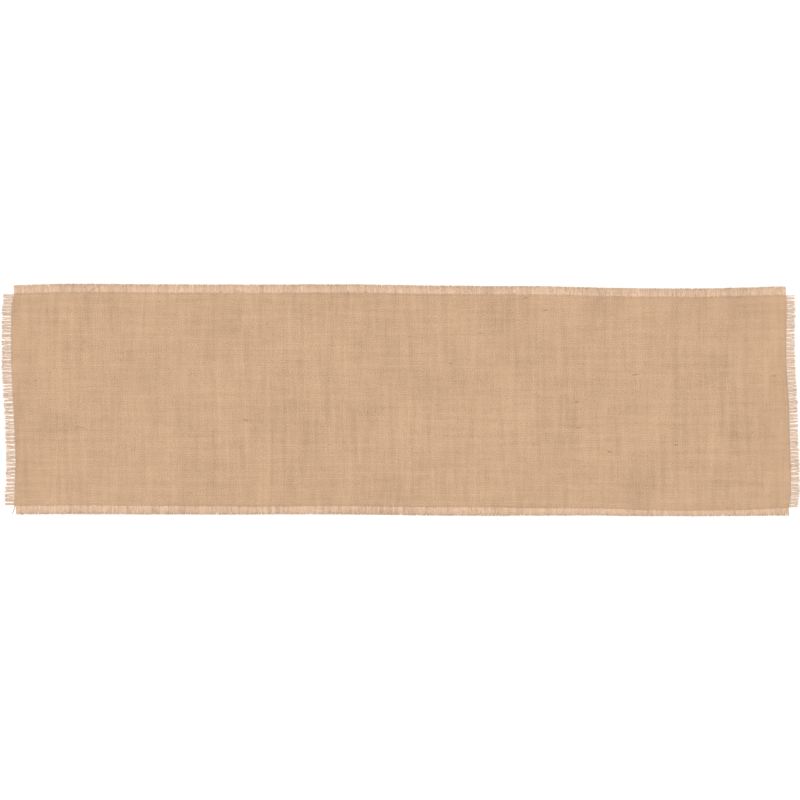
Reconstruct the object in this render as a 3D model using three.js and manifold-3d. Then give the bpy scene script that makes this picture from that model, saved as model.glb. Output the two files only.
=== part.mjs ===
// Fringed jute table runner, lying flat on a table.
//
// A plain-woven jute panel is left raw on all four sides. The outermost yarns are drawn out, so the
// yarns that crossed them stand free as a fringe on every side. A row of lockstitch just inside each
// edge stops the fraying: its needle thread lies on the face, its bobbin thread on the back.
//
// Frame: millimetres. X runs along the warp (the length), Y along the weft (the width), +Z is up.
// The origin is in the middle of the rectangle that the runner covers, on the surface it lies on.

import * as THREE from "three";
import { mergeVertices } from "three/addons/utils/BufferGeometryUtils.js";
import Module from "manifold-3d";

const wasm = await Module();
wasm.setup();

// ---------------------------------------------------------------- driving dimensions

// Woven panel, between the two fringes, measured along its own yarns.
const WOVEN_LENGTH = 1192;
const WOVEN_WIDTH = 327;
const CLOTH_THICKNESS = 1.2;

// Fringe: free yarn length on each side, and the thickness of a yarn that lies on the table.
const LEFT_FRINGE = 14.5;
const RIGHT_FRINGE = 12.5;
const BACK_FRINGE = 13.2;
const FRONT_FRINGE = 12.7;
const FRINGE_THICKNESS = 0.9;

// Each fringe is one comb: a narrow root along the cloth, and one tooth for each bundle of yarns.
const ROOT_WIDTH = 2;
const END_BUNDLE_PITCH = 7.6; // three warp yarns
const SIDE_BUNDLE_PITCH = 10.2; // four weft yarns
const BUNDLE_SPACE = 1.8; // clear space between two bundles

// Stay stitching.
const SEAM_INSET = 1.5; // from the woven edge to the middle of the row
const THREAD_WIDTH = 0.6;
const THREAD_THICKNESS = 0.4;

// How the cloth lies: each end leans, and the right half has slid a little towards the front.
const LEFT_END_LEAN = 6.2; // how much further left the back corner lies than the front one
const RIGHT_END_LEAN = 10;
const DRIFT = 5;
const DRIFT_START = -155; // along the length, from the middle of the cloth
const DRIFT_END = 305;

// Pieces that touch on the real runner are kept apart by this much.
const TOUCHING_GAP = 0.3;

// Straight steps that follow the stretch where the cloth drifts. An odd number keeps every point off
// the middle of the curve, where three points would fall in line.
const DRIFT_STEPS = 11;

// ---------------------------------------------------------------- materials

const JUTE_CLOTH = new THREE.MeshStandardMaterial({ color: "#d0ac8c", roughness: 0.95, metalness: 0 });
const JUTE_YARN = new THREE.MeshStandardMaterial({ color: "#d9b591", roughness: 0.95, metalness: 0 });
const SEWING_THREAD = new THREE.MeshStandardMaterial({ color: "#bd9678", roughness: 0.8, metalness: 0 });

// ---------------------------------------------------------------- from the cut cloth to the laid cloth

// A point of the cut cloth, u along the warp and v along the weft, both from its middle, as it lies.
function lay(u, v) {
  const lean = THREE.MathUtils.mapLinear(
    u, -WOVEN_LENGTH / 2, WOVEN_LENGTH / 2, LEFT_END_LEAN, RIGHT_END_LEAN);
  const drift = DRIFT * THREE.MathUtils.smoothstep(u, DRIFT_START, DRIFT_END);
  return new THREE.Vector2(u - (lean * v) / WOVEN_WIDTH, v - drift);
}

// Places along the length where a line that runs with the warp needs a point.
function stations(u0, u1) {
  const places = [u0];
  for (let i = 0; i <= DRIFT_STEPS; i++) {
    const u = THREE.MathUtils.lerp(DRIFT_START, DRIFT_END, i / DRIFT_STEPS);
    if (u > u0 && u < u1) places.push(u);
  }
  places.push(u1);
  return places;
}

// A rectangle of the cut cloth, as corner and edge points in order.
function cutRectangle(u0, u1, v0, v1) {
  const along = stations(u0, u1);
  return [...along.map((u) => [u, v0]), ...along.toReversed().map((u) => [u, v1])];
}

// A comb along one edge: s runs along the edge from -span/2 to span/2, t runs outwards from it.
// rootPlaces are the values of s that the root's inner line needs.
function cutComb({ span, reach, pitch, place, rootPlaces }) {
  const bundles = Math.round(span / pitch);
  const step = span / bundles;
  const halfTooth = (step - BUNDLE_SPACE) / 2;
  const root = TOUCHING_GAP + ROOT_WIDTH;
  const points = [];
  for (let i = 0; i < bundles; i++) {
    const middle = -span / 2 + (i + 0.5) * step;
    const left = i === 0 ? -span / 2 : middle - halfTooth;
    const right = i === bundles - 1 ? span / 2 : middle + halfTooth;
    if (i > 0) points.push(place(left, root));
    points.push(place(left, reach), place(right, reach));
    if (i < bundles - 1) points.push(place(right, root));
  }
  for (const s of rootPlaces.toReversed()) points.push(place(s, TOUCHING_GAP));
  return points;
}

// ---------------------------------------------------------------- solids

function slab(cutPoints, bottom, thickness) {
  const outline = new THREE.Shape(cutPoints.map(([u, v]) => lay(u, v)));
  const geometry = new THREE.ExtrudeGeometry(outline, { depth: thickness, bevelEnabled: false });
  geometry.translate(0, 0, bottom);
  return geometry;
}

function toManifold(geometry) {
  const plain = geometry.clone();
  plain.deleteAttribute("normal");
  plain.deleteAttribute("uv");
  const merged = mergeVertices(plain);
  return new wasm.Manifold(new wasm.Mesh({
    numProp: 3,
    vertProperties: new Float32Array(merged.attributes.position.array),
    triVerts: new Uint32Array(merged.index.array),
  }));
}

function toGeometry(manifold) {
  const mesh = manifold.getMesh();
  const geometry = new THREE.BufferGeometry();
  geometry.setAttribute("position", new THREE.BufferAttribute(mesh.vertProperties, 3));
  geometry.setIndex(new THREE.BufferAttribute(mesh.triVerts, 1));
  return geometry;
}

const runner = new THREE.Group();

function addPiece(name, geometry, material) {
  const mesh = new THREE.Mesh(geometry, material);
  mesh.name = name;
  runner.add(mesh);
}

// ---------------------------------------------------------------- stay stitching

// Each row as a rectangle of the cut cloth. The side rows run off the cloth at both ends, and the
// end rows run from one side row to the other.
const halfLength = WOVEN_LENGTH / 2;
const halfWidth = WOVEN_WIDTH / 2;
const halfThread = THREAD_WIDTH / 2;
const endRowReach = halfWidth - SEAM_INSET - halfThread - TOUCHING_GAP;

function sideRow(side, room, overrun) {
  const v = side * (halfWidth - SEAM_INSET);
  const u = halfLength + overrun;
  return cutRectangle(-u, u, v - halfThread - room, v + halfThread + room);
}

function endRow(side, room, overrun) {
  const u = side * (halfLength - SEAM_INSET);
  const v = endRowReach + overrun;
  return cutRectangle(u - halfThread - room, u + halfThread + room, -v, v);
}

const ROWS = [
  { name: "left", outline: endRow, side: -1 },
  { name: "right", outline: endRow, side: 1 },
  { name: "front", outline: sideRow, side: -1 },
  { name: "back", outline: sideRow, side: 1 },
];

for (const { name, outline, side } of ROWS) {
  const thread = outline(side, 0, 0);
  addPiece(`${name}_seam_needle_thread`,
    slab(thread, CLOTH_THICKNESS + TOUCHING_GAP, THREAD_THICKNESS), SEWING_THREAD);
  addPiece(`${name}_seam_bobbin_thread`, slab(thread, 0, THREAD_THICKNESS), SEWING_THREAD);
}

// ---------------------------------------------------------------- woven panel

// The stitches pull the bobbin threads into the back of the cloth, so the panel lies flat over them.
const groove = { depth: THREAD_THICKNESS + TOUCHING_GAP, below: 1, overrun: 2 * TOUCHING_GAP };

function wovenPanel() {
  let panel = toManifold(slab(
    cutRectangle(-halfLength, halfLength, -halfWidth, halfWidth), 0, CLOTH_THICKNESS));
  for (const { outline, side } of ROWS) {
    const cutter = slab(outline(side, TOUCHING_GAP, groove.overrun), -groove.below,
      groove.below + groove.depth);
    panel = panel.subtract(toManifold(cutter));
  }
  return toGeometry(panel);
}

addPiece("woven_panel", wovenPanel(), JUTE_CLOTH);

// ---------------------------------------------------------------- fringes

const endFringe = { span: WOVEN_WIDTH, pitch: END_BUNDLE_PITCH, rootPlaces: [-halfWidth, halfWidth] };
const sideFringe = { span: WOVEN_LENGTH, pitch: SIDE_BUNDLE_PITCH,
  rootPlaces: stations(-halfLength, halfLength) };

const FRINGES = [
  { ...endFringe, name: "left_end_fringe", reach: LEFT_FRINGE, place: (s, t) => [-halfLength - t, s] },
  { ...endFringe, name: "right_end_fringe", reach: RIGHT_FRINGE, place: (s, t) => [halfLength + t, s] },
  { ...sideFringe, name: "front_side_fringe", reach: FRONT_FRINGE, place: (s, t) => [s, -halfWidth - t] },
  { ...sideFringe, name: "back_side_fringe", reach: BACK_FRINGE, place: (s, t) => [s, halfWidth + t] },
];

for (const fringe of FRINGES) {
  addPiece(fringe.name, slab(cutComb(fringe), 0, FRINGE_THICKNESS), JUTE_YARN);
}

// ---------------------------------------------------------------- origin

const covered = new THREE.Box3().setFromObject(runner).getCenter(new THREE.Vector3());
runner.position.set(-covered.x, -covered.y, 0);

export default runner;
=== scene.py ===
import math

import bmesh
import bpy
import numpy as np
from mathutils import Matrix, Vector


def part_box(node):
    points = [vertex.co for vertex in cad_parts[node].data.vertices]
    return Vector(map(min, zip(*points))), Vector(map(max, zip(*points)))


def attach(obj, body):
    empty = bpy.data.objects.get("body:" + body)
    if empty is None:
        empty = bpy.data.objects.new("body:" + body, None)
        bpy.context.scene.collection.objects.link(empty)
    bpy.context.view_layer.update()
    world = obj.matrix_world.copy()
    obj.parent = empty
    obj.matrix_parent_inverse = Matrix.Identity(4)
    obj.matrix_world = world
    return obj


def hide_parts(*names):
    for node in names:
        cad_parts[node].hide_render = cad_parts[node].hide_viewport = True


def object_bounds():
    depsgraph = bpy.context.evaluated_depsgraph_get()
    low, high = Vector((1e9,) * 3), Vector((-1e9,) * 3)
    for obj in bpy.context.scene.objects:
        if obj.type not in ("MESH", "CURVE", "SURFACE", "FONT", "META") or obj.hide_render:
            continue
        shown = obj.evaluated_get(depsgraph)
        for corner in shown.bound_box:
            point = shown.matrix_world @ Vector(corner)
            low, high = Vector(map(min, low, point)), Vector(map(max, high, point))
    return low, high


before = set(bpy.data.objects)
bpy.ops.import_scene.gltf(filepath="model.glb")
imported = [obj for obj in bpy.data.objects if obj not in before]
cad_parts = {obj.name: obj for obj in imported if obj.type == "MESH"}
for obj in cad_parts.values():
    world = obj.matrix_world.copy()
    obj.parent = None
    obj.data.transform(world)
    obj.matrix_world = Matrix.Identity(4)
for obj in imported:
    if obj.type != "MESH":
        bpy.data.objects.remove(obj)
cad_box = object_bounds()

# ---------------------------------------------------------------- camera
# The runner is seen from straight above and nearly fills the width of the frame, with its back side
# at the top. It is seen from so far away that there is no perspective to speak of.
cad_low, cad_high = (np.array(corner) for corner in cad_box)
view_margin = 1.0025  # width of the frame over the width of the runner
camera_height = 2.0
off_centre = np.array([-0.0007, 0.0009])  # the runner is not quite in the middle of the frame

camera_data = bpy.data.cameras.new("camera")
camera_data.type = "ORTHO"
camera_data.ortho_scale = float(cad_high[0] - cad_low[0]) * view_margin
camera_data.clip_end = 20
camera = bpy.data.objects.new("camera", camera_data)
camera.location = (*((cad_low + cad_high)[:2] / 2 + off_centre), camera_height)
bpy.context.scene.collection.objects.link(camera)
bpy.context.scene.camera = camera

# ---------------------------------------------------------------- warp yarns
# Single-ply natural jute, spun thick and thin, that runs the whole length of the runner. Each yarn
# goes over one weft yarn and under the next. The loom held them about 2.5 mm apart, and the cloth
# was cut from the roll along its threads, then laid by hand, so that its edges are not quite true.
panel_low, panel_high = (np.array(corner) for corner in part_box("woven_panel"))
left_end_lean, right_end_lean = 0.0062, 0.010  # the back corners lie this much further left
drift = 0.005  # the right half has slid this much towards the front
drift_start, drift_end = -0.155, 0.305  # places along the warp
woven_length = panel_high[0] - panel_low[0] - (left_end_lean + right_end_lean) / 2
woven_width = panel_high[1] - panel_low[1] - drift
cloth_thickness = panel_high[2] - panel_low[2]
laid_middle = np.array([
    (panel_low[0] + panel_high[0]) / 2 - (right_end_lean - left_end_lean) / 4,
    (panel_low[1] + panel_high[1]) / 2 + drift / 2,
])

loom_pitch = 0.00254
warp_count = round(woven_width / loom_pitch)
weft_count = round(woven_length / loom_pitch)
warp_places = (np.arange(warp_count) + 0.5) / warp_count * woven_width - woven_width / 2
weft_places = (np.arange(weft_count) + 0.5) / weft_count * woven_length - woven_length / 2

yarn_thickness = cloth_thickness / 2
weave_rise = yarn_thickness * 0.27  # how far a yarn climbs or dips from the middle of the cloth
warp_width = 0.0026
table_clearance = 0.0001
cloth_middle = yarn_thickness + table_clearance

long_wave, long_wave_height = 0.47, 0.0006
cross_wave, cross_wave_height = 0.19, 0.0003
rim_wave, rim_wave_height = 0.29, 0.0009
rim_share = 0.25  # of the way from each side to the middle


def ripple(u, v):
    """How far the cloth stands off the table: long, very low waves and slightly raised rims."""

    def wave(length, shift):
        return 0.5 + 0.5 * np.sin(u * 2 * np.pi / length + shift)

    rim = np.clip(np.abs(v) / (woven_width / 2) - (1 - rim_share), 0, None) / rim_share
    return (long_wave_height * wave(long_wave, v * 5.1 + 0.6)
            + cross_wave_height * wave(cross_wave, 2.1 - v * 9.3)
            + rim_wave_height * wave(rim_wave, np.sign(v) * 1.3) * rim**2)


def edge_bow(knots):
    """How far one edge lies off its straight line.

    knots are (place along the edge, shift) in millimetres, and the corners between them are eased.
    """
    places, shifts = np.array(knots).T / 1000
    fine = np.linspace(places[0], places[-1], 400)
    eased_over = 25
    padded = np.pad(np.interp(fine, places, shifts), eased_over // 2, "edge")
    return fine, np.convolve(padded, np.ones(eased_over) / eased_over, "valid")


left_bow = edge_bow([
    (-163, -0.8), (-134, 0.9), (-98, 2.9), (-61, 2.4), (-24, 1.6), (13, 0.2), (60, -1.3),
    (105, -0.2), (145, 0.8), (163, 5.6)])
right_bow = edge_bow([
    (-163, -5.0), (-148, -0.3), (-111, 0.6), (-37, 0.7), (0, 0.8), (18, 0), (55, -1.2),
    (92, -0.2), (129, 1.3), (147, 2.2), (163, 1.4)])
front_bow = edge_bow([
    (-596, -0.3), (-495, 0.6), (-409, -0.3), (-323, -0.6), (-194, -1.6), (-108, -0.3),
    (21, -0.6), (151, 1.1), (237, 0.2), (280, 1.4), (345, -0.4), (409, -3.2), (495, -2.4),
    (538, -1.4), (596, 2.0)])
back_bow = edge_bow([
    (-596, -2.0), (-560, 0), (-495, 0.9), (-409, 0.2), (-280, -0.6), (-150, -0.3), (-65, 0.4),
    (21, -0.2), (108, 0.6), (237, 1.7), (323, -0.7), (452, -1.8), (538, -0.2), (596, 2.0)])


def lay(u, v, height):
    """Where a point of the cut cloth lies: u along the warp, v along the weft, and its height."""
    lean = left_end_lean + (right_end_lean - left_end_lean) * (u / woven_length + 0.5)
    slid = np.clip((u - drift_start) / (drift_end - drift_start), 0, 1)
    slid = slid * slid * (3 - 2 * slid)
    to_right, to_back = u / woven_length + 0.5, v / woven_width + 0.5
    bow_u = np.interp(v, *left_bow) * (1 - to_right) + np.interp(v, *right_bow) * to_right
    bow_v = np.interp(u, *front_bow) * (1 - to_back) + np.interp(u, *back_bow) * to_back
    x = u - lean * v / woven_width + bow_u + laid_middle[0]
    y = v - drift * slid + bow_v + laid_middle[1]
    return np.stack([x, y, height + ripple(u, v)], axis=-1)


def uneven(random, yarns, places, spacing, spread):
    """Slow random change along each yarn: a row for each yarn, a value for each place on it."""
    knots = np.arange(places[0] - spacing, places[-1] + 2 * spacing, spacing)
    values = random.normal(0, spread, (yarns, len(knots)))
    start = random.uniform(0, spacing, yarns)
    return np.array([np.interp(places, knots + s, row) for s, row in zip(start, values)])


def slubs(random, yarns, places, apart, length, gain):
    """Thick places that the spinner left in each yarn, as extra girth for each place on it."""
    extra = np.zeros((yarns, len(places)))
    span = places[-1] - places[0]
    for row in extra:
        for middle in random.uniform(places[0], places[-1], random.poisson(span / apart)):
            half = random.uniform(0.5, 1.0) * length
            row += random.uniform(0.4, 1.0) * gain * np.exp(-((places - middle) / half) ** 2)
    return extra


def yarn_section(name, width, thickness, sides, squashed=False):
    """The outline of a yarn cut across, as a closed curve: round, or squashed by its neighbours."""
    outline = bpy.data.curves.new(name, "CURVE")
    outline.dimensions = "2D"
    spline = outline.splines.new("POLY")
    spline.points.add(sides - 1)
    start = np.pi / sides if squashed else 0  # a squashed one lies on a flat side
    size = 1 / math.cos(start)
    for point, turn in zip(spline.points, start + np.arange(sides) / sides * 2 * np.pi):
        point.co = (-math.cos(turn) * size * width / 2, math.sin(turn) * size * thickness / 2, 0, 1)
    spline.use_cyclic_u = True
    section = bpy.data.objects.new(name, outline)
    bpy.context.scene.collection.objects.link(section)
    return section


def map_yarns(mesh, yarns, points, sides, length, columns):
    """Two maps: yarn_map, metres along and turns around each yarn, and OFBake, a strip for each."""
    corners = np.empty(len(mesh.loops), np.int32)
    mesh.loops.foreach_get("vertex_index", corners)
    starts = np.empty(len(mesh.polygons), np.int32)
    mesh.polygons.foreach_get("loop_start", starts)
    ring, side = corners // sides, corners % sides
    counts = np.diff(np.append(starts, len(corners)))
    first_ring, last_ring = np.minimum.reduceat(ring, starts), np.maximum.reduceat(ring, starts)
    first_side, last_side = np.minimum.reduceat(side, starts), np.maximum.reduceat(side, starts)
    is_cap = np.repeat(first_ring == last_ring, counts)
    closes = np.repeat((first_side == 0) & (last_side == sides - 1), counts)
    around = np.where(closes & ~is_cap & (side == 0), sides, side) / sides
    yarn, step = ring // points, ring % points
    along = step / (points - 1)

    turn = 2 * np.pi * side / sides
    outwards = np.where(step == 0, -1, 1)
    end_margin, side_margin = 0.012, 0.08
    strip_u = end_margin + (1 - 2 * end_margin) * along
    strip_v = side_margin + (1 - 2 * side_margin) * around
    cap_u = strip_u + outwards * 0.3 * end_margin * (1.2 + np.cos(turn))
    strip_u = np.where(is_cap, cap_u, strip_u)
    strip_v = np.where(is_cap, 0.5 + 0.35 * np.sin(turn), strip_v)
    rows = math.ceil(yarns / columns)
    bake = np.stack([(yarn % columns + strip_u) / columns, (yarn // columns + strip_v) / rows],
                    axis=1)
    shift_along, shift_around = 0.137, 0.61  # so that no two yarns show the same fibres
    fibre = np.stack([along * length + yarn * shift_along, around + yarn * shift_around], axis=1)
    for name, uv in (("yarn_map", fibre), ("OFBake", bake)):
        layer = mesh.uv_layers.new(name=name)
        layer.uv.foreach_set("vector", uv.astype(np.float32).ravel())
    mesh.uv_layers["yarn_map"].active_render = True


def lay_yarns(name, paths, girths, tones, section, material, columns=1):
    """A piece made of many yarns: paths are yarns x points x 3, girths and tones yarns x points.

    columns is how many strips stand side by side in the OFBake map.
    """
    yarns, points = paths.shape[:2]
    sides = len(section.data.splines[0].points)
    curve = bpy.data.curves.new(name, "CURVE")
    curve.dimensions = "3D"
    curve.twist_mode = "Z_UP"
    curve.bevel_mode = "OBJECT"
    curve.bevel_object = section
    for path, girth in zip(paths, girths):
        spline = curve.splines.new("POLY")
        spline.points.add(points - 1)
        spline.points.foreach_set("co", np.c_[path, np.ones(points)].astype(np.float32).ravel())
        spline.points.foreach_set("radius", girth.astype(np.float32))
    swept = bpy.data.objects.new(name + "_swept", curve)
    bpy.context.scene.collection.objects.link(swept)
    depsgraph = bpy.context.evaluated_depsgraph_get()
    mesh = bpy.data.meshes.new_from_object(swept.evaluated_get(depsgraph))
    bpy.data.objects.remove(swept)
    while mesh.uv_layers:
        mesh.uv_layers.remove(mesh.uv_layers[0])

    shape = bmesh.new()
    shape.from_mesh(mesh)
    bmesh.ops.holes_fill(shape, edges=[e for e in shape.edges if e.is_boundary], sides=0)
    if shape.calc_volume(signed=True) < 0:
        bmesh.ops.reverse_faces(shape, faces=shape.faces)
    shape.to_mesh(mesh)
    shape.free()
    mesh.name = name
    mesh.shade_smooth()
    step_length = np.linalg.norm(np.diff(paths, axis=1), axis=2).sum(axis=1).mean()
    map_yarns(mesh, yarns, points, sides, step_length, columns)
    tone = mesh.attributes.new("tone", "FLOAT", "POINT")
    tone.data.foreach_set("value", np.repeat(tones.ravel(), sides).astype(np.float32))
    mesh.materials.clear()
    mesh.materials.append(material)
    piece = bpy.data.objects.new(name, mesh)
    bpy.context.scene.collection.objects.link(piece)
    return piece


millimetres_per_turn = (1000, 9.5)  # turns yarn_map into millimetres along and around
twist_angle = 0.30  # how steeply the fibres wind around the yarn
fibre_length, fibre_width = 7.0, 0.20  # millimetres


def jute_group():
    """Jute's colour and fine relief, from the yarn's own shade and where the point lies."""
    group = bpy.data.node_groups.new("jute fibre", "ShaderNodeTree")
    socket = group.interface.new_socket
    for name, kind in (("Place", "NodeSocketVector"), ("Yarn map", "NodeSocketVector"),
                       ("Tone", "NodeSocketFloat"), ("Dark", "NodeSocketColor"),
                       ("Middle", "NodeSocketColor"), ("Light", "NodeSocketColor")):
        socket(name=name, in_out="INPUT", socket_type=kind)
    for name, kind in (("Colour", "NodeSocketColor"), ("Relief", "NodeSocketFloat"),
                       ("Roughness", "NodeSocketFloat")):
        socket(name=name, in_out="OUTPUT", socket_type=kind)
    node, link = group.nodes.new, group.links.new
    inside, outside = node("NodeGroupInput"), node("NodeGroupOutput")

    def noise(place, scale, detail):
        texture = node("ShaderNodeTexNoise")
        texture.inputs["Scale"].default_value = scale
        texture.inputs["Detail"].default_value = detail
        texture.inputs["Roughness"].default_value = 0.55
        link(place, texture.inputs["Vector"])
        return texture.outputs["Fac"]

    def blend(kind, one, two):
        maths = node("ShaderNodeMath")
        maths.operation = kind
        for value, entry in zip((one, two), maths.inputs):
            if isinstance(value, (int, float)):
                entry.default_value = value
            else:
                link(value, entry)
        return maths.outputs[0]

    def share(value, strength):
        return blend("MULTIPLY", blend("SUBTRACT", value, 0.5), strength)

    twist = node("ShaderNodeMapping")
    twist.inputs["Scale"].default_value = (*millimetres_per_turn, 1)
    twist.inputs["Rotation"].default_value = (0, 0, twist_angle)
    link(inside.outputs["Yarn map"], twist.inputs["Vector"])
    stretch = node("ShaderNodeMapping")
    stretch.inputs["Scale"].default_value = (1 / fibre_length, 1 / fibre_width, 1)
    link(twist.outputs[0], stretch.inputs["Vector"])
    fibres = noise(stretch.outputs[0], scale=1.0, detail=3)
    patches_per_metre, mottles_per_metre = 9, 95
    shades = [(noise(inside.outputs["Place"], patches_per_metre, detail=2), 0.6),
              (noise(inside.outputs["Place"], mottles_per_metre, detail=2), 0.35)]
    for name, streaks_per_metre, strength in (("along the warp", (9, 120, 1), 0.55),
                                              ("along the weft", (110, 10, 1), 0.8)):
        drawn_out = node("ShaderNodeMapping")
        drawn_out.label = name
        drawn_out.inputs["Scale"].default_value = streaks_per_metre
        link(inside.outputs["Place"], drawn_out.inputs["Vector"])
        shades.append((noise(drawn_out.outputs[0], scale=1.0, detail=2), strength))
    shades.append((fibres, 1.3))

    level = inside.outputs["Tone"]
    for shade, strength in shades:
        level = blend("ADD", level, share(shade, strength))
    colour = inside.outputs["Dark"]
    for name, start in (("Middle", 0.0), ("Light", 0.5)):
        ramp = node("ShaderNodeMapRange")
        ramp.inputs["From Min"].default_value = start
        ramp.inputs["From Max"].default_value = start + 0.5
        link(level, ramp.inputs["Value"])
        mix = node("ShaderNodeMix")
        mix.data_type = "RGBA"
        first_colour, second_colour, mixed_colour = mix.inputs[6], mix.inputs[7], mix.outputs[2]
        link(ramp.outputs[0], mix.inputs["Factor"])
        link(colour, first_colour)
        link(inside.outputs[name], second_colour)
        colour = mixed_colour
    link(colour, outside.inputs["Colour"])
    link(fibres, outside.inputs["Relief"])
    least_rough, rougher_by = 0.78, 0.18
    rough = blend("ADD", least_rough, blend("MULTIPLY", fibres, rougher_by))
    link(rough, outside.inputs["Roughness"])
    return group


jute_fibre = jute_group()


def jute(name, dark, middle, light, relief=0.00028):
    """A jute finish in three shades, read from each piece's own tone attribute and yarn map."""
    material = bpy.data.materials.new(name)
    material.use_nodes = True
    nodes, link = material.node_tree.nodes, material.node_tree.links.new
    shader = nodes["Principled BSDF"]
    shader.inputs["Specular IOR Level"].default_value = 0.25
    shader.inputs["Sheen Weight"].default_value = 0.12
    shader.inputs["Sheen Roughness"].default_value = 0.6
    fibre = nodes.new("ShaderNodeGroup")
    fibre.node_tree = jute_fibre
    for shade, colour in (("Dark", dark), ("Middle", middle), ("Light", light)):
        fibre.inputs[shade].default_value = (*colour, 1)
    place = nodes.new("ShaderNodeTexCoord")
    yarn_map = nodes.new("ShaderNodeUVMap")
    yarn_map.uv_map = "yarn_map"
    tone = nodes.new("ShaderNodeAttribute")
    tone.attribute_name = "tone"
    bump = nodes.new("ShaderNodeBump")
    bump.inputs["Strength"].default_value = 0.8
    bump.inputs["Distance"].default_value = relief
    link(place.outputs["Object"], fibre.inputs["Place"])
    link(yarn_map.outputs["UV"], fibre.inputs["Yarn map"])
    link(tone.outputs["Fac"], fibre.inputs["Tone"])
    link(fibre.outputs["Colour"], shader.inputs["Base Color"])
    link(fibre.outputs["Roughness"], shader.inputs["Roughness"])
    link(fibre.outputs["Relief"], bump.inputs["Height"])
    link(bump.outputs["Normal"], shader.inputs["Normal"])
    return material


warp_jute = jute("warp jute", dark=(0.393, 0.248, 0.149), middle=(0.490, 0.313, 0.191),
                 light=(0.560, 0.369, 0.232))
warp_random = np.random.default_rng(11)
warp_stations = np.concatenate([[-woven_length / 2], weft_places, [woven_length / 2]])
warps = warp_random, warp_count, warp_stations
warp_girth = 1 + uneven(*warps, spacing=0.09, spread=0.07)
warp_girth += uneven(*warps, spacing=0.016, spread=0.06)
warp_girth += slubs(*warps, apart=1.5, length=0.008, gain=0.5)
warp_tone = 0.5 + warp_random.normal(0, 0.03, (warp_count, 1))
warp_tone = warp_tone + uneven(*warps, spacing=0.09, spread=0.04)
warp_tone += uneven(*warps, spacing=0.025, spread=0.04)
warp_wander = uneven(*warps, spacing=0.05, spread=0.00022)
over_under = np.where((np.arange(warp_count)[:, None] + np.arange(weft_count)) % 2, 1.0, -1.0)
warp_height = np.pad(over_under, ((0, 0), (1, 1))) * weave_rise + cloth_middle
warp_paths = lay(warp_stations[None], warp_places[:, None] + warp_wander, warp_height)
squashed_thickness = yarn_thickness * 0.95
warp_section = yarn_section("warp section", warp_width, squashed_thickness, sides=4, squashed=True)

for name, yarns in zip(("front", "middle", "back"), np.array_split(np.arange(warp_count), 3)):
    piece = lay_yarns(f"warp_yarns_{name}", warp_paths[yarns], warp_girth[yarns], warp_tone[yarns],
                      warp_section, warp_jute)
    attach(piece, "root")

# ---------------------------------------------------------------- weft yarns
# The same jute, a little thicker and softer, put in from side to side by the shuttle. Each pirn
# holds yarn for a few picks only, and where one took over from another the shade changes slightly.
weft_width = 0.0027
weft_jute = jute("weft jute", dark=(0.392, 0.249, 0.152), middle=(0.491, 0.317, 0.195),
                 light=(0.561, 0.371, 0.235))
weft_random = np.random.default_rng(12)
weft_stations = np.concatenate([[-woven_width / 2], warp_places, [woven_width / 2]])
wefts = weft_random, weft_count, weft_stations
weft_girth = 1 + uneven(*wefts, spacing=0.10, spread=0.08)
weft_girth += uneven(*wefts, spacing=0.018, spread=0.06)
weft_girth += slubs(*wefts, apart=1.2, length=0.009, gain=0.5)
weft_tone = 0.5 + weft_random.normal(0, 0.03, (weft_count, 1))
picks_of_each_pirn = weft_random.integers(2, 7, weft_count)
pirns = np.repeat(np.arange(weft_count), picks_of_each_pirn)[:weft_count]
weft_tone = weft_tone + uneven(*wefts, spacing=0.07, spread=0.07)[pirns]
weft_tone += uneven(*wefts, spacing=0.09, spread=0.04)
weft_tone += uneven(*wefts, spacing=0.025, spread=0.04)
weft_wander = uneven(*wefts, spacing=0.06, spread=0.00022)
weft_height = cloth_middle - np.pad(over_under.T, ((0, 0), (1, 1))) * weave_rise
weft_paths = lay(weft_places[:, None] + weft_wander, weft_stations[None], weft_height)
weft_section = yarn_section("weft section", weft_width, squashed_thickness, sides=4, squashed=True)

for name, yarns in zip(("left", "middle", "right"), np.array_split(np.arange(weft_count), 3)):
    piece = lay_yarns(f"weft_yarns_{name}", weft_paths[yarns], weft_girth[yarns], weft_tone[yarns],
                      weft_section, weft_jute)
    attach(piece, "root")

# ---------------------------------------------------------------- fringes
# The outer yarns were drawn out on every side, which frees the ends of the yarns that crossed them.
# Neighbours cling in twos and threes near the cloth, and each has opened a little towards its tip.
# The loose yarns are the same jute as in the cloth, painted paler as painted light, for the light
# that the white table sends up between and through them.
fringe_jute_painted_light = jute("fringe jute", dark=(0.494, 0.328, 0.213), middle=(0.625, 0.423, 0.286),
                   light=(0.706, 0.496, 0.342))
fringe_steps = 8  # points along each free end
strands = 4  # of fibre in each free end
crimp_height, crimp_pace = 0.0002, 0.0008  # the bends that the weave pressed into the yarns
crimp_reach = 0.006  # how far out of the cloth these still show
waver_width, waver_pace = 0.00015, 0.0016  # and how the yarns waver from side to side
parting_reach = 0.005  # how far to each side a parting pushes the yarns
# The cut tips are drawn thinner, and painted darker as painted shade, for the shadow at the cut
# ends.
thinner_at_tip, tip_painted_shade = 0.5, 0.9


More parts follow.
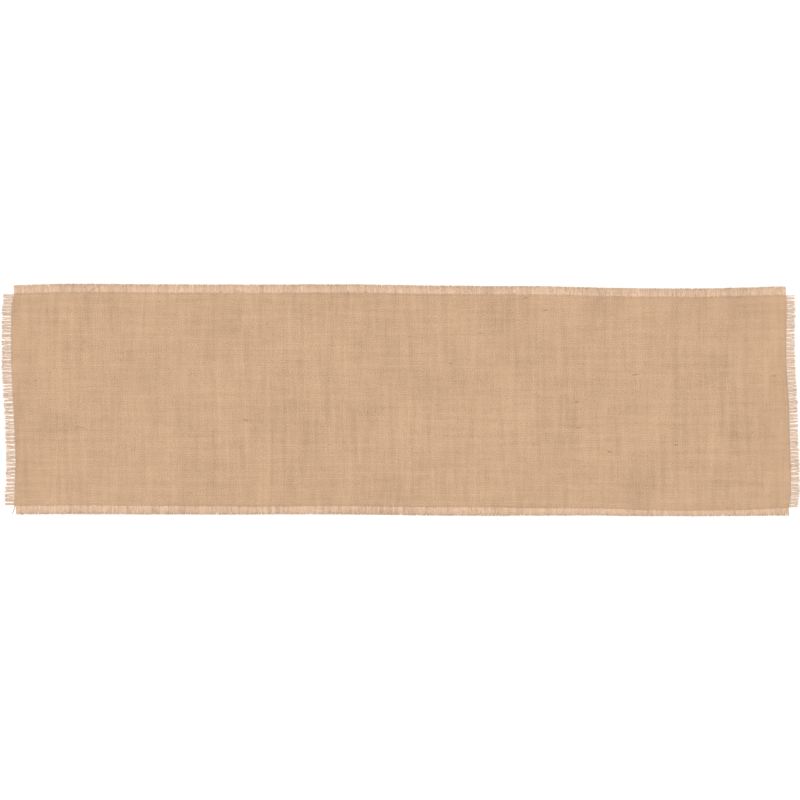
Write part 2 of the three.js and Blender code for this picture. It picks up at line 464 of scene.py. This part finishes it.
def free_ends(seed, starts, girth, tone, reach, lean, clinging, curl, lift, partings=0):
    """Free yarn ends on one side, as places along the edge, outwards and up, girth and tone.

    starts are places along the edge, and reach is each yarn's own length outside the cloth.
    """
    random = np.random.default_rng(seed)
    count = len(starts)
    way = np.linspace(0, 1, fringe_steps)[None]
    bunch = np.repeat(np.arange(count), random.choice((1, 2, 2, 2, 3), count))[:count]
    bunch_middle = np.array([starts[bunch == b].mean() for b in bunch])
    closest = 0.3  # of the way out
    closing = clinging * (way / closest) * np.exp(1 - way / closest)
    tufts = np.linspace(starts[0], starts[-1], 24)
    side_lean = lean * np.interp(starts, tufts, random.normal(0, 1, len(tufts)))
    side_lean = side_lean + random.normal(0, lean, count)
    bend = random.normal(0, curl, (count, 1))
    phase = random.uniform(0, 2 * np.pi, (count, 1))
    outwards = reach[:, None] * way
    crimp = np.exp(-outwards / crimp_reach)
    along = starts[:, None] + (bunch_middle - starts)[:, None] * closing
    along = along + side_lean[:, None] * reach[:, None] * way + bend * way**2
    along = along + waver_width * np.sin(outwards / waver_pace + phase) * (0.4 + way)
    for parting in random.uniform(starts[0], starts[-1], partings):
        away = starts - parting
        pushed = random.uniform(0.0003, 0.0009) * np.sign(away)
        pushed = pushed * np.exp(-(away / parting_reach) ** 2)
        along = along + pushed[:, None] * np.sin(np.pi * way)
    settled = yarn_thickness + random.uniform(0, 0.0006, (count, 1))
    raised = lift * random.exponential(1.0, (count, 1)).clip(0, 3) * way**2
    height = cloth_middle * (1 - way) ** 2 + settled * (1 - (1 - way) ** 2) + raised
    height = height + crimp_height * crimp * np.sin(outwards / crimp_pace + phase)
    shade = tone[:, None] + random.normal(0, 0.10, (count, 1)) + 0 * way
    return along, outwards, height, girth[:, None] + 0 * way, shade


def open_up(seed, ends, width, thickness, twist, opening, splay, ragged, fraying):
    """Each free end as a few strands of fibre that wind around it and part towards the cut tip."""
    random = np.random.default_rng(seed + 200)
    along, outwards, height, girth, shade = (np.repeat(part, strands, axis=0) for part in ends)
    count = len(along)
    way = np.linspace(0, 1, fringe_steps)[None]
    turn = np.tile(np.arange(strands), count // strands)[:, None] * 2 * np.pi / strands
    turn = turn + np.repeat(random.uniform(0, 2 * np.pi, count // strands), strands)[:, None]
    turn = turn + twist * outwards + random.normal(0, 0.25, (count, 1))
    outwards = outwards * (1 + random.normal(0, ragged, (count, 1)) * way)
    radius = girth * (0.8 + opening * way**2)
    along = along + radius * width / 2 * np.cos(turn)
    along = along + random.normal(0, splay, (count, 1)) * way**2
    height = height + radius * thickness / 2 * np.sin(turn)
    at_tip = way**6
    girth = girth * (1 + fraying * (way - 0.3)) * (1 - thinner_at_tip * at_tip)
    girth = girth * (1 + random.normal(0, 0.10, (count, fringe_steps)))
    # painted shade: the cut tips are painted darker, for the shadow at the cut ends
    shade = shade + random.normal(0, 0.12, (count, 1)) - tip_painted_shade * at_tip
    return along, outwards, height, girth, shade


end_reach = {
    "left": panel_low[0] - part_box("left_end_fringe")[0][0],
    "right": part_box("right_end_fringe")[1][0] - panel_high[0],
}
side_reach = {
    "front": panel_low[1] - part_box("front_side_fringe")[0][1],
    "back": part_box("back_side_fringe")[1][1] - panel_high[1],
}
end_section = yarn_section("loose warp section", width=0.00046, thickness=0.00042, sides=5)
side_section = yarn_section("loose weft section", width=0.0012, thickness=0.0006, sides=5)
# The free ends are painted paler still than the same yarn in the cloth, as painted light that lifts
# the shade between their strands.
end_painted_light, side_painted_light = 0.35, 0.12  # how much paler the free ends are than in the cloth
end_trim_spread, side_trim_spread = 0.045, 0.012
slight_bow = 0.0025  # where the cloth is drawn in more than this, the shears cut straight on
free_paths = []
for seed, (name, side, left_long) in enumerate((("left", -1, 1.03), ("right", 1, 1.08)), start=21):
    edge = 0 if side < 0 else -1
    trim = np.random.default_rng(seed + 100).normal(left_long, end_trim_spread, warp_count)
    bow = np.interp(warp_places, *(left_bow if side < 0 else right_bow))
    drawn_in = np.clip(-side * bow - slight_bow, 0, None)
    ends = free_ends(
        seed, warp_places + warp_wander[:, edge], warp_girth[:, edge],
        warp_tone[:, edge] + end_painted_light, end_reach[name] * trim + drawn_in, lean=0.03,
        clinging=0.3, curl=0.0007, lift=0.0004)
    along, outwards, height, thick, shade = open_up(
        seed, ends, width=0.0015, thickness=0.0005, twist=170, opening=0.4, splay=0.0003,
        ragged=0.03, fraying=0.4)
    paths = lay(side * (woven_length / 2 + outwards), along, height)
    piece = lay_yarns(f"{name}_end_yarns", paths, thick, shade, end_section, fringe_jute_painted_light,
                      columns=4)
    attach(piece, "root")
    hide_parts(f"{name}_end_fringe")
    free_paths.append(paths)

# The shears wandered along the front: places along it, and how much of the length is left there.
front_trim = np.array([(-0.596, 1.10), (-0.28, 1.04), (-0.194, 0.96), (-0.108, 1.04),
                       (0.151, 1.04), (0.194, 0.93), (0.323, 0.88), (0.366, 0.80),
                       (0.409, 0.65), (0.495, 0.70), (0.538, 0.78), (0.596, 0.96)]).T
front_closer = 0.985  # the whole front was cut this much closer
# The first yarn at the front is a thin dark one that has slipped out past the left corner.
stray_out, stray_girth, stray_darker = 0.0052, 0.4, 0.8
for seed, (name, side) in enumerate((("front", -1), ("back", 1)), start=31):
    edge = 0 if side < 0 else -1
    trim = np.random.default_rng(seed + 100).normal(1, side_trim_spread, weft_count)
    if name == "front":
        trim = trim * np.interp(weft_places, *front_trim) * front_closer
    ends = free_ends(
        seed, weft_places + weft_wander[:, edge], weft_girth[:, edge],
        weft_tone[:, edge] + side_painted_light, side_reach[name] * trim, lean=0.012, clinging=0.12,
        curl=0.00015, lift=0.0002, partings=26)
    if name == "front":
        along, outwards, height, girth, shade = ends
        along[0] -= stray_out * np.linspace(0, 1, fringe_steps)
        girth[0] *= stray_girth
        shade[0] -= stray_darker
    along, outwards, height, thick, shade = open_up(
        seed, ends, width=0.0024, thickness=0.0005, twist=110, opening=0.25, splay=0.00012,
        ragged=0.01, fraying=0)
    paths = lay(along, side * (woven_width / 2 + outwards), height)
    piece = lay_yarns(f"{name}_side_yarns", paths, thick, shade, side_section, fringe_jute_painted_light,
                      columns=8)
    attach(piece, "root")
    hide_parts(f"{name}_side_fringe")
    free_paths.append(paths)

# ---------------------------------------------------------------- stay stitching
# One row of lockstitch just inside each edge, in spun polyester. The needle thread shows as short
# stitches on the face, and the bobbin thread as the same stitches on the back.
stitch_length = 0.0032
seam_inset = 0.0015
thread_diameter = 0.00042
points_per_stitch = 4
wandering = 0.00012  # of each stitch, to one side or the other
sunk_in = 0.00005  # how deep the thread presses into the cloth
arch_fullness = 0.6  # a stitch lies flat for most of its length and dives at its ends
sewing_thread = jute("sewing thread", dark=(0.396, 0.241, 0.148), middle=(0.476, 0.291, 0.184),
                     light=(0.531, 0.339, 0.218), relief=0.00003)
thread_section = yarn_section("thread section", thread_diameter, thread_diameter, sides=5)


def stitches(seed, length, face):
    """One row of stitches, on the face or the back: places along it, sideways and up."""
    random = np.random.default_rng(seed)
    count = round(length / stitch_length)
    steps = count * points_per_stitch + 1
    way = np.arange(steps) / points_per_stitch
    along = way / count * length - length / 2
    sideways = np.interp(way, np.arange(count + 1), random.normal(0, wandering, count + 1))
    arch = np.abs(np.sin(way * np.pi)) ** arch_fullness
    return along, sideways, cloth_middle + face * (yarn_thickness - sunk_in) * arch


end_row_length = woven_width - 2 * seam_inset - thread_diameter * 2
seams = ("left", -1), ("right", 1), ("front", -1), ("back", 1)
for seed, (name, side) in enumerate(seams, start=41):
    at_end = name in ("left", "right")
    for thread, face in (("needle", 1), ("bobbin", -1)):
        along, sideways, height = stitches(seed, end_row_length if at_end else woven_length, face)
        if at_end:
            path = lay(side * (woven_length / 2 - seam_inset) + sideways, along, height)
        else:
            path = lay(along, side * (woven_width / 2 - seam_inset) + sideways, height)
        tone = np.random.default_rng(seed + 50).normal(0.5, 0.08, (1, len(along)))
        piece = lay_yarns(f"{name}_row_{thread}_thread", path[None], np.ones_like(tone), tone,
                          thread_section, sewing_thread)
        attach(piece, "root")
        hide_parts(f"{name}_seam_{thread}_thread")

# ---------------------------------------------------------------- bark flecks
# Slivers of the plant's dark bark that were spun into the yarns and stuck in them. The larger ones
# lie along the warp and can be made out one by one, and the rest are mere specks.
bark = jute("jute bark", dark=(0.205, 0.123, 0.072), middle=(0.290, 0.177, 0.105),
            light=(0.375, 0.237, 0.147), relief=0.0001)
fleck_section = yarn_section("fleck section", width=0.0015, thickness=0.0003, sides=5)
fleck_height = cloth_middle + weave_rise + yarn_thickness * 0.45  # half sunk in the top yarns
fleck_random = np.random.default_rng(51)
# The larger flecks, as places on the table and lengths, in millimetres.
large_flecks = np.array([
    (363, 40, 13), (575, 38, 6), (423, -68, 8), (275, -42, 9), (322, -79, 6), (272, -2, 9),
    (412, 52, 6), (-492, -41, 14), (-238, -30, 8), (-108, -68, 6), (77, 57, 5), (123, 104, 5),
    (192, 158, 6), (223, 139, 7), (-323, -142, 5), (-205, 118, 5)]) / 1000
laid_shift = lay(large_flecks[:, 0], large_flecks[:, 1], 0)[:, :2] - large_flecks[:, :2]
large_flecks[:, :2] -= laid_shift
speck_count = 90
specks = np.stack([fleck_random.uniform(-0.5, 0.5, speck_count) * woven_length,
                   fleck_random.uniform(-0.5, 0.5, speck_count) * woven_width,
                   fleck_random.uniform(0.0008, 0.0024, speck_count)], axis=1)
flecks = np.concatenate([large_flecks, specks])
sliver = np.array([0.3, 0.85, 1.0, 0.8, 0.25])[None]
fleck_girth = sliver * (0.25 + 90 * flecks[:, 2:]).clip(0, 1)  # the short ones are thin too
heading = fleck_random.normal(0, 0.15, (len(flecks), 1))
heading[len(large_flecks):] += fleck_random.choice((0, np.pi / 2), (speck_count, 1))
way = np.linspace(-0.5, 0.5, fleck_girth.shape[1])[None] * flecks[:, 2:]
fleck_paths = lay(flecks[:, :1] + way * np.cos(heading), flecks[:, 1:2] + way * np.sin(heading),
                  fleck_height)
fleck_tone = np.broadcast_to(fleck_random.normal(0.5, 0.25, (len(flecks), 1)), fleck_girth.shape)
bark_flecks = lay_yarns("bark_flecks", fleck_paths, fleck_girth, fleck_tone, fleck_section, bark,
                        columns=4)
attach(bark_flecks, "root")

# ---------------------------------------------------------------- loose fibres
# Jute sheds: fine fibres stand out of every yarn, mostly where it is free in the fringe. They are
# the ends of the same fibres, a tenth of a millimetre thick and blond, and painted paler than the
# yarns all over as painted light, for the light that they catch and that shines through them from
# behind.
fibre_jute_painted_light = jute("loose fibre jute", dark=(0.56, 0.39, 0.27), middle=(0.7, 0.5, 0.35),
                  light=(0.8, 0.6, 0.44))
fibre_section = yarn_section("fibre section", width=0.00013, thickness=0.00010, sides=3)
fibre_steps = 5
fibre_random = np.random.default_rng(61)
fibres_per_strand = 0.6
cloth_fibres = 2200
fibre_clearance = 0.00012  # above the table
splay_spread = 0.45  # sideways to the yarn, as a share of the way along it

fibre_paths = []
for paths in free_paths:
    for path in paths:
        outwards = path[-1] - path[0]
        across = np.array([-outwards[1], outwards[0], 0]) / np.linalg.norm(outwards[:2])
        for _ in range(fibre_random.poisson(fibres_per_strand)):
            root = path[fibre_random.integers(2, fringe_steps)]
            splay = fibre_random.normal(0, splay_spread)
            reach = fibre_random.uniform(0.12, 0.4)
            way = np.linspace(0, 1, fibre_steps)[:, None]
            bend = fibre_random.normal(0, 0.0012)
            line = root + reach * way * (outwards + splay * across * np.linalg.norm(outwards))
            line = line + across * bend * way**2
            climb = fibre_random.uniform(-0.0004, 0.0012)
            line[:, 2] = np.maximum(root[2] + climb * way[:, 0], fibre_clearance)
            fibre_paths.append(line)
for _ in range(cloth_fibres):
    u = fibre_random.uniform(-0.5, 0.5) * woven_length
    v = fibre_random.uniform(-0.5, 0.5) * woven_width
    heading = fibre_random.choice((0, np.pi / 2)) + fibre_random.normal(0, splay_spread)
    length = fibre_random.uniform(0.003, 0.011)
    way = np.linspace(-0.5, 0.5, fibre_steps)
    bend = fibre_random.normal(0, 0.15) * length
    along_u = u + length * way * math.cos(heading) - bend * 4 * way**2 * math.sin(heading)
    along_v = v + length * way * math.sin(heading) + bend * 4 * way**2 * math.cos(heading)
    arch = fibre_random.uniform(0.0001, 0.0009) * (1 - 4 * way**2)
    fibre_paths.append(lay(along_u, along_v, cloth_middle + yarn_thickness * 0.8 + arch))
fibre_paths = np.array(fibre_paths)
taper = np.broadcast_to(np.linspace(1.0, 0.45, fibre_steps), fibre_paths.shape[:2])
fibre_tone = fibre_random.normal(0.55, 0.2, (len(fibre_paths), 1))
fibre_tone = np.broadcast_to(fibre_tone, fibre_paths.shape[:2])
loose_fibres = lay_yarns("loose_fibres", fibre_paths, taper, fibre_tone, fibre_section, fibre_jute_painted_light,
                         columns=24)
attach(loose_fibres, "root")

# ---------------------------------------------------------------- matted ground
# Between the yarns the short hairs of neighbours mat together and close most of the small openings.
# This thin felted layer at the middle of the cloth is what is seen there. It is painted a little
# darker than the yarns, as painted shade for the shade that falls into the openings.
ground_thickness = 0.00012
ground_cells = (298, 82)
ground_jute_painted_shade = jute("matted jute", dark=(0.372, 0.229, 0.137), middle=(0.469, 0.298, 0.183),
                   light=(0.541, 0.353, 0.223))

ground_mesh = bpy.data.meshes.new("matted_ground")
shape = bmesh.new()
bmesh.ops.create_grid(shape, x_segments=ground_cells[0], y_segments=ground_cells[1], size=0.5)
grid = np.array([v.co for v in shape.verts])
places = lay(grid[:, 0] * woven_length, grid[:, 1] * woven_width, cloth_middle)
for vertex, place in zip(shape.verts, places):
    vertex.co = Vector(place)
bmesh.ops.solidify(shape, geom=shape.faces[:], thickness=ground_thickness)
bmesh.ops.recalc_face_normals(shape, faces=shape.faces)
shape.to_mesh(ground_mesh)
shape.free()
ground_mesh.shade_smooth()
ground_mesh.materials.append(ground_jute_painted_shade)
tone = ground_mesh.attributes.new("tone", "FLOAT", "POINT")
tone.data.foreach_set("value", np.full(len(ground_mesh.vertices), 0.5, np.float32))
ground = bpy.data.objects.new("matted_ground", ground_mesh)
bpy.context.scene.collection.objects.link(ground)
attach(ground, "root")
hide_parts("woven_panel")

for section in (warp_section, weft_section, end_section, side_section, thread_section,
                fleck_section, fibre_section):
    bpy.data.objects.remove(section)

# ---------------------------------------------------------------- floor and light
# A plain table, white with a trace of warmth, under a large and even light. One soft lamp stands
# high up on the far side and a little to the left, and gives the yarns a gentle shadow.
floor_reach = 4  # from the middle to each side
floor_mesh = bpy.data.meshes.new("floor")
shape = bmesh.new()
bmesh.ops.create_grid(shape, x_segments=1, y_segments=1, size=floor_reach)
shape.to_mesh(floor_mesh)
shape.free()
floor_material = bpy.data.materials.new("white table")
floor_material.use_nodes = True
floor_shader = floor_material.node_tree.nodes["Principled BSDF"]
floor_shader.inputs["Base Color"].default_value = (0.96, 0.93, 0.89, 1)
floor_shader.inputs["Roughness"].default_value = 0.9
floor_mesh.materials.append(floor_material)
floor = bpy.data.objects.new("floor", floor_mesh)
bpy.context.scene.collection.objects.link(floor)

world = bpy.data.worlds.new("studio")
world.use_nodes = True
sky = world.node_tree.nodes["Background"]
sky.inputs["Color"].default_value = (1, 1, 1, 1)
sky.inputs["Strength"].default_value = 1.205
bpy.context.scene.world = world

lamp = bpy.data.lights.new("overhead_light", "AREA")
lamp.shape = "SQUARE"
lamp.size = 3.0
lamp.energy = 108
lamp_place = Vector((-0.7, 2.4, 6.3))
overhead_light = bpy.data.objects.new("overhead_light", lamp)
overhead_light.location = lamp_place
overhead_light.rotation_euler = (-lamp_place).to_track_quat("-Z", "Y").to_euler()
bpy.context.scene.collection.objects.link(overhead_light)
bpy.context.scene.view_settings.view_transform = "Standard"
